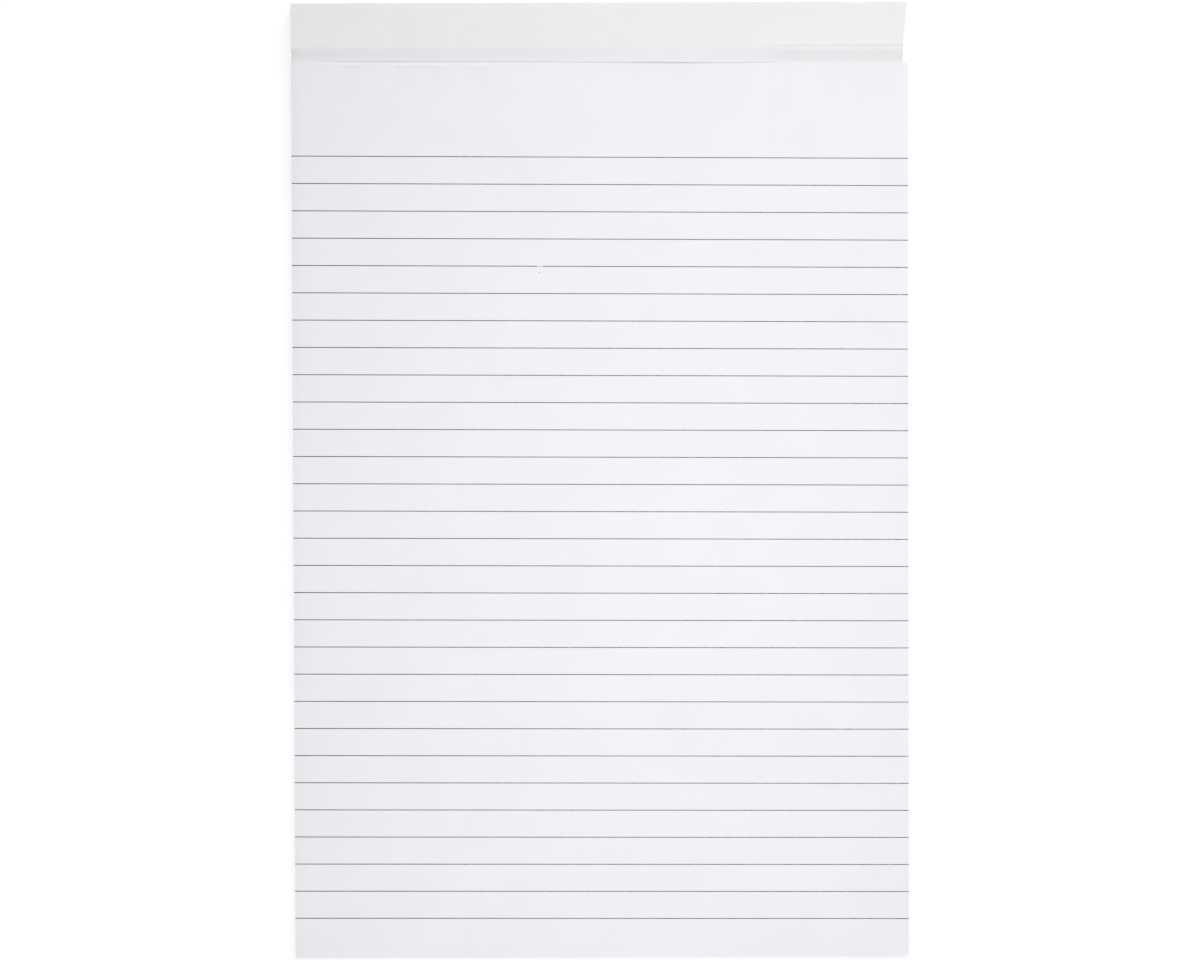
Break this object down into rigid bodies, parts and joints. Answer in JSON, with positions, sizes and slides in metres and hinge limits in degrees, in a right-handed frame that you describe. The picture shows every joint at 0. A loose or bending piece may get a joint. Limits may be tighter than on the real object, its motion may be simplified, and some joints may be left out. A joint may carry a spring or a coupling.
{
  "type": "legal pad",
  "caption": "White ruled writing pad, glued along its top edge to a chipboard back, with a paper binding strip folded over the bound edge and a perforated tear line below it.",
  "frame": {"origin": "centre of the back of the pad, on the surface that it lies on", "axes": "+X across the sheets to the right as they are read, +Y up the page to the bound edge, +Z out of the writing face"},
  "size_m": [0.216, 0.3352, 0.0065],
  "materials": {
    "sheet_paper": "uncoated white writing paper",
    "rule_ink": "thin grey printed line",
    "chipboard": "plain grey-brown chipboard",
    "padding_glue": "dried white padding glue",
    "strip_paper": "smooth white binding paper"
  },
  "bodies": {
    "root": {"sheet_block": "sheet_paper", "ruling": "rule_ink", "backing_board": "chipboard", "glue_film": "padding_glue", "binding_strip": "strip_paper"}
  },
  "joints": []
}
